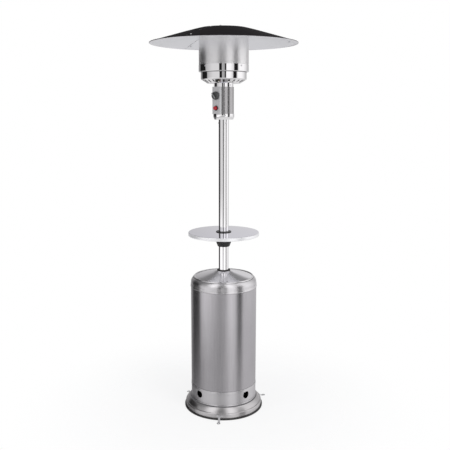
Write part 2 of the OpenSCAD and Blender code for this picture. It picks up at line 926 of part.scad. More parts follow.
// Pipes and leads between the valve, the injector and the pilot
module supply_pipe() {
    top = case_top_z - 9;
    base = knob_z + valve_hi;
    color(brass)
        at_panel()
            lead([[28, 0, base], [28, 0, base + 5], [26.5, 0, base + 9], [22, 0, base + 12],
                  [15, 0, base + 13], [8, 0, top - 9], [3, 0, top - 6], [0, 0, top - 2],
                  [0, 0, top]], 3);
}

module injector() {
    color(brass)
        difference() {
            union() {
                translate([0, 0, case_top_z - 9])
                    cylinder(r = 8, h = 9, $fn = 6);
                translate([0, 0, case_top_z - 1])
                    cylinder(r = 5, h = 10);
                translate([0, 0, case_top_z + 8])
                    cylinder(r = 3, h = 7);
            }
            translate([0, 0, case_top_z + 5])
                cylinder(r = 0.8, h = 11, $fn = small_fn);
        }
}

module head_neck() {
    floor_t = 1.5;
    color(polished)
        difference() {
            pressed([[5.2, case_top_z], [neck_r, case_top_z], [neck_r, bowl_z]], floor_t);
            round_z(3, neck_screw_angle)
                rod_x(m5_r + nest_gap, neck_r - 5, neck_r + 2, neck_screw_z);
            at_panel()
                for (p = [[lead_x, 0], [lead_x, 9], [36, -22]])
                    translate([p[0], p[1], case_top_z - 1])
                        cylinder(r = lead_r + 0.6, h = floor_t + 2, $fn = small_fn);
        }
}

// Burner bowl: a slotted cone under a straight band, with a flange that carries the emitter
module burner_bowl() {
    floor_r = bowl_r - 34.5;
    edge_r = 9;
    slot_w = 9.5;
    color(polished)
        difference() {
            pressed(concat(
                [[neck_hole_r, bowl_z], [floor_r, bowl_z], [floor_r + 6.3, bowl_z + 5.3],
                 [bowl_r - 9.8, bowl_z + 16.1]],
                arc(bowl_r - edge_r, bowl_z + 26, edge_r, -50, 0, 5),
                [[bowl_r, flange_z], [band_r - band_foot_r - nest_gap, flange_z]]), bowl_wall);
            round_z(bowl_slots, -90)
                translate([floor_r + 4, -slot_w / 2, bowl_z - 1])
                    cube([bowl_r - 12 - floor_r, slot_w, 26]);
        }
}

module burner_deck() {
    color(stainless)
        difference() {
            ring(screen_r - nest_gap, mixer_r + 0.3, deck_z, deck_z + deck_t);
            at_panel()
                for (y = [-pilot_gap, 0, pilot_gap])
                    translate([pilot_x, y, deck_z - 1])
                        cylinder(r = 3.2, h = deck_t + 2, $fn = small_fn);
        }
}

module mixer_tube() {
    color(stainless)
        rotate_extrude()
            polygon([
                [mixer_r - 1, bowl_z - 4], [mixer_r, bowl_z - 4], [mixer_r, deck_z + deck_t],
                [mixer_r + 8, deck_z + deck_t], [mixer_r + 8, deck_z + deck_t + 1.5],
                [mixer_r - 1, deck_z + deck_t + 1.5]
            ]);
}

module burner_head() {
    burner_r = 62;
    burner_h = 52;
    color(stainless)
        difference() {
            pressed([
                [burner_r, screen_z], [burner_r, screen_z + burner_h - 12],
                [burner_r - 12, screen_z + burner_h], [0, screen_z + burner_h]
            ], head_wall);
            for (z = [14, 26])
                round_z(18, z)
                    rod_x(4, burner_r - 5, burner_r + 5, screen_z + z);
        }
}

module pilot_burner() {
    color(stainless)
        at_panel() {
            difference() {
                translate([pilot_x - 8, -pilot_gap - 7, screen_z])
                    cube([16, 2 * pilot_gap + 14, 1.5]);
                for (y = [-pilot_gap, 0, pilot_gap])
                    translate([pilot_x, y, screen_z - 1])
                        cylinder(r = 3.2, h = 4, $fn = small_fn);
            }
            difference() {
                translate([pilot_x, 0, deck_z - 8])
                    cylinder(r = 3, h = 12, $fn = small_fn);
                translate([pilot_x, 0, deck_z - 9])
                    cylinder(r = 1.2, h = 20, $fn = small_fn);
            }
            translate([0, 0, screen_z + 1.5])
                difference() {
                    translate([pilot_x, 0, -0.5])
                        cylinder(r = 5, h = 32.5, $fn = small_fn);
                    translate([pilot_x, 0, 0.5])
                        cylinder(r = 4, h = 33, $fn = small_fn);
                    translate([pilot_x - 8, -2, 20])
                        cube([6, 4, 8]);
                }
        }
}

// The common route of the leads: up beside the valve and across to the pilot
function pilot_route(x, y, z0, y_end) = [
    [x, y, z0], [x, y, case_top_z], [x, y, bowl_z + 20], [x + 2, y, bowl_z + 28],
    [x + 8, y + 0.2 * (y_end - y), bowl_z + 33], [x + 22, y + 0.6 * (y_end - y), bowl_z + 35],
    [pilot_x - 14, y_end, bowl_z + 35], [pilot_x - 5, y_end, bowl_z + 37],
    [pilot_x - 1, y_end, bowl_z + 42], [pilot_x, y_end, deck_z - 8]];

module pilot_tube() {
    color(brass)
        at_panel()
            lead(pilot_route(lead_x, 0, knob_z + valve_hi, 0), lead_r);
}

module thermocouple() {
    color(brass)
        at_panel() {
            lead(pilot_route(lead_x, 9, knob_z + valve_hi, pilot_gap), lead_r);
            translate([pilot_x, pilot_gap, deck_z - 8.2])
                cylinder(r = 2.6, h = 36, $fn = small_fn);
            translate([pilot_x, pilot_gap, deck_z + 27])
                cylinder(r = 1.8, h = 10, $fn = small_fn);
        }
}

module spark_electrode() {
    color("white")
        at_panel() {
            translate([pilot_x, -pilot_gap, deck_z - 8])
                cylinder(r = 2.8, h = 36, $fn = small_fn);
            translate([pilot_x, -pilot_gap, deck_z + 27])
                cylinder(r = 1, h = 12, $fn = small_fn);
        }
}

module ignition_lead() {
    side_x = 36;
    color(black)
        at_panel()
            lead(concat(
                [[15, 0, igniter_z], [12, 0, igniter_z], [9, -4, igniter_z + 2],
                 [9, -12, igniter_z + 6], [14, -18, igniter_z + 14], [24, -21, igniter_z + 26],
                 [32, -22, igniter_z + 36]],
                pilot_route(side_x, -22, knob_z - 10, -pilot_gap)), lead_r);
}

// Emitter: a polished band, the perforated screen inside it and a lid with the reflector's studs
module emitter_band() {
    bottom_z = flange_z - head_wall;
    color(polished)
        difference() {
            pressed(concat(
                [[bowl_r + nest_gap, bottom_z], [band_r - band_foot_r - 0.5, bottom_z]],
                arc(band_r - band_foot_r, bottom_z + band_foot_r, band_foot_r, -80, 0, 5),
                [[band_r, bottom_z + emitter_band_h]]), head_wall);
            round_z(4, band_screw_angle)
                rod_x(m5_r + nest_gap, band_r - 5, band_r + 2, band_screw_z);
        }
}

module emitter_screen() {
    color(stainless)
        difference() {
            ring(screen_r, screen_r - head_wall, screen_z, screen_z + screen_h);
            round_z(4, band_screw_angle)
                rod_x(m5_r + nest_gap, screen_r - 5, screen_r + 2, band_screw_z);
        }
}

module emitter_top() {
    lid_r = screen_r + nest_gap + head_wall;
    color(stainless)
        pressed([
            [lid_r, emitter_top_z - 12], [lid_r, emitter_top_z], [6, emitter_top_z]
        ], head_wall);
}

module reflector_studs() {
    color(zinc)
        round_z(3, stud_angle)
            translate([stud_circle_r, 0, emitter_top_z]) {
                cylinder(r = spacer_r, h = spacer_h);
                cylinder(r = stud_r, h = spacer_h + reflector_wall + 5, $fn = small_fn);
            }
}

module reflector_nuts() {
    color(zinc)
        round_z(3, stud_angle)
            translate([stud_circle_r, 0, reflector_z])
                difference() {
                    union() {
                        cylinder(r = 7.5, h = 1.2);
                        cylinder(r = 5.8, h = 5, $fn = 6);
                        translate([0, 0, 4.5])
                            cylinder(r1 = 4.5, r2 = 2.5, h = 2.5, $fn = small_fn);
                    }
                    translate([0, 0, -1])
                        cylinder(r = stud_r + nest_gap, h = 6.2, $fn = small_fn);
                }
}

// Reflector panels: a third of the shade each, with a lap that lies under the next panel
reflector_in_r = 30;
lap_r = reflector_r - 3 * rim_bead_r;

// The reflector's outer surface from radius r_out to radius r_in, lowered by drop
function shade_line(r_out, r_in, drop = 0) = concat(
    [for (i = [0:cone_steps]) let (r = r_out - (r_out - flat_r - 2) * i / cone_steps)
        [r, reflector_height(r) - drop]],
    [[flat_r, reflector_z - drop], [r_in, reflector_z - drop]]);
function reversed(p) = [for (i = [len(p) - 1:-1:0]) p[i]];
function rim_bead() = arc(reflector_r - rim_bead_r, rim_z, rim_bead_r, -170, 140, 12);

// A sweep of a closed profile from angle a0 to a1
module shade_sweep(a0, a1, points) {
    rotate([0, 0, a0])
        rotate_extrude(angle = a1 - a0)
            polygon(points);
}

module reflector_panel(index) {
    first = seam_angle + 120 * (index - 1);
    mid = reflector_wall / 2;
    color(charcoal)
        difference() {
            rotate([0, 0, first]) {
                shade_sweep(seam_gap, 120, concat(
                    rim_bead(), sheet(shade_line(lap_r, reflector_in_r), reflector_wall)));
                // The lap, and the jog that drops it by a little over the sheet's thickness
                shade_sweep(120 - seam_jog, 120 + seam_lap,
                    sheet(shade_line(lap_r, reflector_in_r + 1, seam_drop), reflector_wall));
                shade_sweep(120 - seam_jog + 0.1, 119.9, concat(
                    shade_line(lap_r - 1, reflector_in_r + 2, mid),
                    reversed(shade_line(lap_r - 1, reflector_in_r + 2, mid + seam_drop))));
            }
            for (a = [first, first + 120])
                for (r = seam_screw_rs)
                    at_seam(a, r)
                        translate([0, 0, -8])
                            cylinder(r = m5_r + nest_gap, h = 12, $fn = small_fn);
            round_z(3, stud_angle)
                translate([stud_circle_r, 0, reflector_z - 5])
                    cylinder(r = stud_r + nest_gap, h = 10, $fn = small_fn);
        }
}

// A frame on the reflector's outer face beside the seam at angle a, Z square to the sheet
module at_seam(a, r) {
    slope = r > flat_r ? reflector_slope(r) : 0;
    rotate([0, 0, a + seam_lap / 2])
        translate([r, 0, reflector_height(r)])
            rotate([0, slope, 0])
                children();
}

module reflector_hub() {
    color(charcoal)
        difference() {
            translate([0, 0, reflector_z])
                cylinder(r1 = hub_r, r2 = hub_r - hub_t, h = hub_t);
            for (i = [0:2])
                at_seam(seam_angle + 120 * i, seam_screw_rs[0])
                    translate([0, 0, -8])
                        cylinder(r = m5_r + nest_gap, h = 16, $fn = small_fn);
        }
}

module seam_screws() {
    shank = 2 * reflector_wall + 4;
    color(zinc)
        for (i = [0:2])
            for (r = seam_screw_rs)
                at_seam(seam_angle + 120 * i, r)
                    translate([0, 0, r < hub_r ? hub_t : 0]) {
                        cylinder(r1 = 4.5, r2 = 3.4, h = 2.2, $fn = small_fn);
                        translate([0, 0, -shank])
                            cylinder(r = m5_r, h = shank + 1, $fn = small_fn);
                    }
}

module seam_nuts() {
    nut_h = 3;
    color(zinc)
        for (i = [0:2])
            for (r = seam_screw_rs)
                at_seam(seam_angle + 120 * i, r)
                    translate([0, 0, -reflector_wall - seam_drop - 0.2 - nut_h])
                        difference() {
                            cylinder(r = 4.6, h = nut_h, $fn = 6);
                            translate([0, 0, -1])
                                cylinder(r = m5_r + nest_gap / 2, h = nut_h + 2, $fn = small_fn);
                        }
}

base_edge_ring();
base_plate();
base_skirt();
vent_band();
anchor_brackets();
anchor_screws();
support_leg(leg_angles[0]);  // support_leg_1
support_leg(leg_angles[1]);  // support_leg_2
support_leg(leg_angles[2]);  // support_leg_3
leg_foot_bolts();
post_socket();
socket_bolts();
post();
post_bolts();
inlet_union();
gas_hose();
hose_nuts();
housing_sleeve();
housing_cap();
cap_bush();
table_top();
table_hub();
table_flange_ring();
table_nut();
head_socket();
head_screws();
case_shell();
control_panel();
gas_valve();
valve_screws();
valve_stem();
control_knob();
igniter_body();
igniter_bezel();
igniter_button();
tilt_switch();
supply_pipe();
injector();
head_neck();
burner_bowl();
burner_deck();
mixer_tube();
burner_head();
pilot_burner();
pilot_tube();
thermocouple();
spark_electrode();
ignition_lead();
emitter_band();
emitter_screen();
emitter_top();
reflector_studs();
reflector_nuts();
reflector_panel(1);  // reflector_panel_1
reflector_panel(2);  // reflector_panel_2
reflector_panel(3);  // reflector_panel_3
reflector_hub();
seam_screws();
seam_nuts();
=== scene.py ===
"""Looks for the gas infrared heater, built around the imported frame. All lengths are in metres."""

import math

import bmesh
import bpy
from mathutils import Matrix, Vector


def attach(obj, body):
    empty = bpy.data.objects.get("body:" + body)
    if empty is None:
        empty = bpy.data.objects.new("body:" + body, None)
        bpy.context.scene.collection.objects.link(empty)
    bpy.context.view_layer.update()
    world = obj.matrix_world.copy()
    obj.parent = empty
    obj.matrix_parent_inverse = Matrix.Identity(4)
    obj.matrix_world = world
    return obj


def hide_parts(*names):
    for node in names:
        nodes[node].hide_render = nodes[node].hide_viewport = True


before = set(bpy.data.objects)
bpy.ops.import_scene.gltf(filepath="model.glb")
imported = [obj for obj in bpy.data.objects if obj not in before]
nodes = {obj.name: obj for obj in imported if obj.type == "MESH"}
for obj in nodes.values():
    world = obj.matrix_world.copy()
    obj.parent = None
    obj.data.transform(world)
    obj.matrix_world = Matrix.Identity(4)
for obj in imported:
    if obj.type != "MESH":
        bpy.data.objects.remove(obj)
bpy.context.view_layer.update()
scene = bpy.context.scene
scene.view_settings.view_transform = "Standard"


# ---------------------------------------------------------------- camera
SENSOR_MM, LENS_MM = 36.0, 52.06
CAMERA_PLACE = (0, -3.668, 1.7293)
CAMERA_YAW, CAMERA_TILT, CAMERA_ROLL = -0.118, 9.978, 0.06


def make_camera():
    """The photograph's viewpoint: 3.67 m in front, 1.73 m up, tilted down by 10 degrees."""
    data = bpy.data.cameras.new("camera")
    data.sensor_width = SENSOR_MM
    data.lens = LENS_MM
    cam = bpy.data.objects.new("camera", data)
    scene.collection.objects.link(cam)
    yaw, tilt, roll = (math.radians(a) for a in (CAMERA_YAW, CAMERA_TILT, CAMERA_ROLL))
    cam.matrix_world = (
        Matrix.Translation(CAMERA_PLACE)
        @ Matrix.Rotation(yaw, 4, "Z")
        @ Matrix.Rotation(math.pi / 2 - tilt, 4, "X")
        @ Matrix.Rotation(roll, 4, "Z")
    )
    scene.camera = cam


make_camera()


# ---------------------------------------------------------------- node helpers
def link(tree, value, socket):
    """Puts a value, or another node's output, into a socket."""
    if isinstance(value, bpy.types.NodeSocket):
        tree.links.new(value, socket)
    elif value is not None:
        socket.default_value = value


def math_node(tree, operation, a, b=None):
    n = tree.nodes.new("ShaderNodeMath")
    n.operation = operation
    link(tree, a, n.inputs[0])
    link(tree, b, n.inputs[1])
    return n.outputs[0]


def smooth_step(tree, value, low, high, to_min=0.0, to_max=1.0):
    """Rises or falls smoothly from to_min at low to to_max at high."""
    n = tree.nodes.new("ShaderNodeMapRange")
    n.interpolation_type = "SMOOTHSTEP"
    link(tree, value, n.inputs["Value"])
    n.inputs["From Min"].default_value = low
    n.inputs["From Max"].default_value = high
    n.inputs["To Min"].default_value = to_min
    n.inputs["To Max"].default_value = to_max
    return n.outputs["Result"]


NOISE_MIN, NOISE_MAX = 0.25, 0.75
DARK_AT, LIGHT_AT = 0.3, 0.7


def spread(tree, value, low, high):
    """Noise, which stays mostly between NOISE_MIN and NOISE_MAX, spread from low to high."""
    n = tree.nodes.new("ShaderNodeMapRange")
    link(tree, value, n.inputs["Value"])
    n.inputs["From Min"].default_value = NOISE_MIN
    n.inputs["From Max"].default_value = NOISE_MAX
    n.inputs["To Min"].default_value = low
    n.inputs["To Max"].default_value = high
    return n.outputs["Result"]


def mix_colour(tree, factor, a, b):
    n = tree.nodes.new("ShaderNodeMix")
    n.data_type = "RGBA"
    link(tree, factor, n.inputs["Factor"])
    link(tree, a, n.inputs["A"])
    link(tree, b, n.inputs["B"])
    return n.outputs["Result"]


def ramp(tree, factor, stops):
    """A colour ramp from (place, colour) pairs."""
    n = tree.nodes.new("ShaderNodeValToRGB")
    elements = n.color_ramp.elements
    while len(elements) < len(stops):
        elements.new(0.5)
    for element, (place, colour) in zip(elements, stops):
        element.position = place
        element.color = (*colour, 1.0)
    link(tree, factor, n.inputs["Fac"])
    return n.outputs["Color"]


def two_tones(tree, value, dark, light):
    """A colour between dark and light, as the noise in value says."""
    return ramp(tree, value, [(DARK_AT, dark), (LIGHT_AT, light)])


def noise(tree, scale, detail, stretch=(1, 1, 1), roughness=0.55, seed=0.0):
    """Noise in the object's own metres, drawn out by stretch."""
    coords = tree.nodes.new("ShaderNodeTexCoord")
    mapping = tree.nodes.new("ShaderNodeMapping")
    mapping.inputs["Scale"].default_value = stretch
    mapping.inputs["Location"].default_value = (seed, seed * 1.7, seed * 2.3)
    tree.links.new(coords.outputs["Object"], mapping.inputs["Vector"])
    n = tree.nodes.new("ShaderNodeTexNoise")
    n.inputs["Scale"].default_value = scale
    n.inputs["Detail"].default_value = detail
    n.inputs["Roughness"].default_value = roughness
    tree.links.new(mapping.outputs["Vector"], n.inputs["Vector"])
    return n.outputs["Fac"]


def bump(tree, height, strength, distance):
    n = tree.nodes.new("ShaderNodeBump")
    n.inputs["Strength"].default_value = strength
    n.inputs["Distance"].default_value = distance
    link(tree, height, n.inputs["Height"])
    return n.outputs["Normal"]


# ---------------------------------------------------------------- mesh helpers
CREASE = math.radians(30)


def vertex_rings(bm, path, steps):
    """Rings of vertices about the Z axis, one for each (radius, height) of path."""
    turns = [2 * math.pi * k / steps for k in range(steps)]
    return [[bm.verts.new((r * math.cos(t), r * math.sin(t), z)) for t in turns]
            for r, z in path]


def add_mesh(name, bm):
    mesh = bpy.data.meshes.new(name)
    bm.to_mesh(mesh)
    bm.free()
    obj = bpy.data.objects.new(name, mesh)
    scene.collection.objects.link(obj)
    return obj


def shade_smooth(obj):
    obj.data.polygons.foreach_set("use_smooth", [True] * len(obj.data.polygons))


def split_creases(obj):
    """Keeps the shading hard at the edges where the mesh bends by more than CREASE."""
    split = obj.modifiers.new("split", "EDGE_SPLIT")
    split.split_angle = CREASE


# ---------------------------------------------------------------- studio
def grey(value):
    """A grey with a faint touch of magenta."""
    return (value, value * 0.99, value)


# The studio round the heater. Directions are degrees from the camera, positive to the right.
# Pale walls: brightness by direction, level with the heater's head
WALLS = [
    (-180, 0.62), (-163, 0.36), (-146, 0.25), (-96, 0.34), (-80, 0.52), (-55, 0.70),
    (-20, 0.72), (-8, 0.44), (4, 0.36), (12, 0.88), (17, 1.02), (31, 1.0), (41, 0.80),
    (49, 0.60), (71, 0.72), (77, 1.02), (102, 0.98), (118, 0.80), (134, 0.55), (150, 0.50),
    (166, 0.72), (180, 0.62),
]
# The walls higher up, as the rounded cap and skirt see them
HIGH_WALLS = [
    (-180, 0.20), (-135, 0.20), (-88, 0.20), (-68, 0.42), (-54, 1.4), (-40, 1.5), (-27, 1.05),
    (-19, 0.28), (-4, 0.22), (4, 0.28), (11, 1.0), (20, 1.35), (36, 1.3), (46, 0.85),
    (54, 0.55), (64, 0.70), (78, 1.05), (110, 0.85), (150, 0.30), (180, 0.20),
]
# The floor further out, and the greyer floor nearer the heater
FAR_FLOOR = [
    (-180, 0.60), (-134, 0.25), (-92, 0.60), (-76, 1.25), (-64, 1.30), (-45, 1.12), (-33, 0.90),
    (-11, 0.66), (3, 0.68), (15, 1.1), (24, 1.30), (38, 1.12), (50, 0.70), (75, 0.86),
    (111, 0.80), (125, 0.75), (180, 0.60),
]
NEAR_FLOOR = [
    (-180, 0.45), (-134, 0.18), (-92, 0.25), (-64, 0.33), (-33, 0.31), (-11, 0.28), (5, 0.38),
    (24, 0.70), (40, 0.60), (50, 0.52), (75, 0.70), (111, 0.66), (125, 0.64), (180, 0.45),
]
# Dark uprights between the walls: from and to which direction, and whether the floor shows them
UPRIGHTS = [(-135, -91, True), (-21, -8.8, False), (4.6, 11.4, False), (48, 67.5, True)]
UPRIGHT_BLUR = 0.8
UPRIGHT_GREY, UPRIGHT_ON_FLOOR_GREY = 0.012, 0.05
# Degrees above the horizon between which one part of the studio gives way to the next
FAR_FLOOR_UP = (-12.5, -6.5)
NEAR_FLOOR_UP = (-21.5, -15.5)
FEET_UP = (-31.0, -24.0)
UNDER_UP = (-80, -45)
HIGH_WALLS_UP = (20, 32)
CEILING_UP = (66, 82)
LONG_UPRIGHT_UP = (-25, -20)
SHORT_UPRIGHT_UP = (-14, -9)
# Even greys: the ceiling, the floor at the heater's feet, and straight below
CEILING_GREY, FEET_GREY, UNDER_GREY = 0.66, 0.72, 0.24
AMBIENT_COLOUR, AMBIENT_STRENGTH = (0.96, 0.965, 1.0, 1), 0.72


def make_world():
    """The studio for reflections, an even light for the rest, and white for the camera."""
    world = bpy.data.worlds.new("studio")
    scene.world = world
    world.use_nodes = True
    world.cycles.sampling_method = "NONE"
    tree = world.node_tree
    tree.nodes.clear()
    coords = tree.nodes.new("ShaderNodeTexCoord")
    split = tree.nodes.new("ShaderNodeSeparateXYZ")
    tree.links.new(coords.outputs["Generated"], split.inputs[0])
    x, y, z = split.outputs
    # The direction as 0 to 1, with 0.5 towards the camera, and the height as degrees upwards
    turn = math_node(tree, "ARCTAN2", x, math_node(tree, "MULTIPLY", y, -1.0))
    place = math_node(tree, "MULTIPLY_ADD", turn, 1 / (2 * math.pi))
    place.node.inputs[2].default_value = 0.5
    up = math_node(tree, "DEGREES", math_node(tree, "ARCSINE", z))

    def ring_of(stops):
        return ramp(tree, place, [((a + 180) / 360, grey(v)) for a, v in stops])

    def even_grey(value):
        return (*grey(value), 1)

    below = smooth_step(tree, up, *FAR_FLOOR_UP, 1.0, 0.0)
    near = smooth_step(tree, up, *NEAR_FLOOR_UP, 1.0, 0.0)
    feet = smooth_step(tree, up, *FEET_UP, 1.0, 0.0)
    around = mix_colour(tree, below, ring_of(WALLS), ring_of(FAR_FLOOR))
    around = mix_colour(tree, near, around, ring_of(NEAR_FLOOR))
    dark = None
    for start, end, on_floor in UPRIGHTS:
        edges = [[(edge + 180 + side * UPRIGHT_BLUR) / 360 for side in (-1, 1)]
                 for edge in (start, end)]
        inside = math_node(tree, "MULTIPLY", smooth_step(tree, place, *edges[0]),
                           smooth_step(tree, place, *edges[1], 1.0, 0.0))
        foot_up = LONG_UPRIGHT_UP if on_floor else SHORT_UPRIGHT_UP
        inside = math_node(tree, "MULTIPLY", inside, smooth_step(tree, up, *foot_up))
        dark = inside if dark is None else math_node(tree, "MAXIMUM", dark, inside)
    shade = mix_colour(tree, below, even_grey(UPRIGHT_GREY), even_grey(UPRIGHT_ON_FLOOR_GREY))
    around = mix_colour(tree, dark, around, shade)
    high = smooth_step(tree, up, *HIGH_WALLS_UP)
    around = mix_colour(tree, high, around, ring_of(HIGH_WALLS))
    over = smooth_step(tree, up, *CEILING_UP)
    around = mix_colour(tree, over, around, even_grey(CEILING_GREY))
    around = mix_colour(tree, feet, around, even_grey(FEET_GREY))
    under = smooth_step(tree, up, *UNDER_UP, 1.0, 0.0)
    around = mix_colour(tree, under, around, even_grey(UNDER_GREY))

    light = tree.nodes.new("ShaderNodeLightPath")
    seen = tree.nodes.new("ShaderNodeBackground")
    seen.inputs["Color"].default_value = (1, 1, 1, 1)
    mirrored = tree.nodes.new("ShaderNodeBackground")
    link(tree, around, mirrored.inputs["Color"])
    ambient = tree.nodes.new("ShaderNodeBackground")
    ambient.inputs["Color"].default_value = AMBIENT_COLOUR
    ambient.inputs["Strength"].default_value = AMBIENT_STRENGTH
    first = tree.nodes.new("ShaderNodeMixShader")
    tree.links.new(light.outputs["Is Glossy Ray"], first.inputs[0])
    tree.links.new(ambient.outputs[0], first.inputs[1])
    tree.links.new(mirrored.outputs[0], first.inputs[2])
    through = math_node(tree, "MAXIMUM", light.outputs["Is Camera Ray"],
                        light.outputs["Is Transmission Ray"])
    second = tree.nodes.new("ShaderNodeMixShader")
    tree.links.new(through, second.inputs[0])
    tree.links.new(first.outputs[0], second.inputs[1])
    tree.links.new(seen.outputs[0], second.inputs[2])
    out = tree.nodes.new("ShaderNodeOutputWorld")
    tree.links.new(second.outputs[0], out.inputs["Surface"])


LIT_POINT = (0, 0, 1.1)
LIGHT_SIZE = 2.4
FLOOR_RINGS = [0.35, 0.9, 1.8, 3.2, 6.0]
FLOOR_SIDES = 96
FLOOR_DROP = 0.0005
FLOOR_WHITE = 0.78
FLOOR_FADE = (0.3, 1.3)


def make_light(name, place, power):
    """A round lamp that shines on LIT_POINT and is itself never seen."""
    data = bpy.data.lights.new(name, "AREA")
    data.shape = "DISK"
    data.size = LIGHT_SIZE
    data.energy = power
    lamp = bpy.data.objects.new(name, data)
    lamp.location = place
    lamp.rotation_mode = "QUATERNION"
    lamp.rotation_quaternion = (Vector(LIT_POINT) - Vector(place)).to_track_quat("-Z", "Y")
    lamp.visible_glossy = False
    lamp.visible_camera = False
    scene.collection.objects.link(lamp)


def make_floor():
    """A pale floor that fades into the white background and keeps a soft shadow."""
    bm = bmesh.new()
    centre = bm.verts.new((0, 0, 0))
    loops = vertex_rings(bm, [(r, 0) for r in FLOOR_RINGS], FLOOR_SIDES)
    for k in range(FLOOR_SIDES):
        j = (k + 1) % FLOOR_SIDES
        bm.faces.new((centre, loops[0][k], loops[0][j]))
        for inner, outer in zip(loops, loops[1:]):
            bm.faces.new((inner[k], outer[k], outer[j], inner[j]))
    floor = add_mesh("floor", bm)
    floor.location.z = -FLOOR_DROP
    floor.visible_glossy = False

    mat = bpy.data.materials.new("floor")
    mat.use_nodes = True
    tree = mat.node_tree
    tree.nodes.clear()
    light = tree.nodes.new("ShaderNodeLightPath")
    diffuse = tree.nodes.new("ShaderNodeBsdfDiffuse")
    grain = noise(tree, 9.0, detail=4.0)
    link(tree, two_tones(tree, grain, (0.86, 0.86, 0.865), (0.89, 0.89, 0.89)),
         diffuse.inputs["Color"])
    white = tree.nodes.new("ShaderNodeEmission")
    white.inputs["Color"].default_value = (1, 1, 1, 1)
    lit = tree.nodes.new("ShaderNodeMixShader")
    # The camera sees the floor mostly plain white and partly lit, so its shadow stays soft
    link(tree, math_node(tree, "MULTIPLY", light.outputs["Is Camera Ray"], FLOOR_WHITE),
         lit.inputs[0])
    tree.links.new(diffuse.outputs[0], lit.inputs[1])
    tree.links.new(white.outputs[0], lit.inputs[2])
    clear = tree.nodes.new("ShaderNodeBsdfTransparent")
    coords = tree.nodes.new("ShaderNodeTexCoord")
    length = tree.nodes.new("ShaderNodeVectorMath")
    length.operation = "LENGTH"
    tree.links.new(coords.outputs["Object"], length.inputs[0])
    fade = smooth_step(tree, length.outputs["Value"], *FLOOR_FADE)
    mixed = tree.nodes.new("ShaderNodeMixShader")
    link(tree, math_node(tree, "MULTIPLY", fade, light.outputs["Is Camera Ray"]), mixed.inputs[0])
    tree.links.new(lit.outputs[0], mixed.inputs[1])
    tree.links.new(clear.outputs[0], mixed.inputs[2])
    out = tree.nodes.new("ShaderNodeOutputMaterial")
    tree.links.new(mixed.outputs[0], out.inputs["Surface"])
    floor.data.materials.append(mat)


make_world()
make_light("key", (2.6, -3.2, 4.2), 95)
make_light("fill", (-3.4, -2.0, 2.6), 28)
make_floor()


# ---------------------------------------------------------------- materials
SPUN_STRENGTH, SPUN_TURN = 0.75, 0.25


def base_material(name, metallic, specular=0.5):
    mat = bpy.data.materials.new(name)
    mat.use_nodes = True
    shader = mat.node_tree.nodes["Principled BSDF"]
    shader.inputs["Metallic"].default_value = metallic
    shader.inputs["Specular IOR Level"].default_value = specular
    return mat, mat.node_tree, shader


def metal(name, dark, light, rough, grain, grain_scale, relief, seed, smudge=6.0,
          streak=0.5, metallic=1.0, spun=False):
    """Bare metal: fine noise drawn out by grain, over broad faint smudges.

    Streak is the fine noise's share. The gloss of spun metal is drawn out away from the Z axis.
    """
    mat, tree, shader = base_material(name, metallic)
    if spun:
        shader.inputs["Anisotropic"].default_value = SPUN_STRENGTH
        shader.inputs["Anisotropic Rotation"].default_value = SPUN_TURN
        tangent = tree.nodes.new("ShaderNodeTangent")
        tangent.direction_type = "RADIAL"
        tangent.axis = "Z"
        tree.links.new(tangent.outputs["Tangent"], shader.inputs["Tangent"])
    fine = noise(tree, grain_scale, detail=5.0, stretch=grain, roughness=0.65, seed=seed)
    broad = noise(tree, smudge, detail=2.0, seed=seed + 3.1)
    both = math_node(tree, "MULTIPLY_ADD", fine, streak)
    link(tree, math_node(tree, "MULTIPLY", broad, 1 - streak), both.node.inputs[2])
    link(tree, two_tones(tree, both, dark, light), shader.inputs["Base Color"])
    link(tree, spread(tree, both, rough[0], rough[1]), shader.inputs["Roughness"])
    if relief:
        link(tree, bump(tree, fine, strength=0.35, distance=relief), shader.inputs["Normal"])
    return mat


def moulded(name, dark, light, rough, grain_scale, relief, specular, seed):
    """Moulded plastic, rubber or paint: a fine eggshell grain and slight wear in its sheen."""
    mat, tree, shader = base_material(name, 0.0, specular)
    fine = noise(tree, grain_scale, detail=2.0, seed=seed)
    broad = noise(tree, 14.0, detail=4.0, seed=seed + 5.3)
    link(tree, two_tones(tree, broad, dark, light), shader.inputs["Base Color"])
    link(tree, spread(tree, broad, rough[0], rough[1]), shader.inputs["Roughness"])
    link(tree, bump(tree, fine, strength=0.4, distance=relief), shader.inputs["Normal"])
    return mat


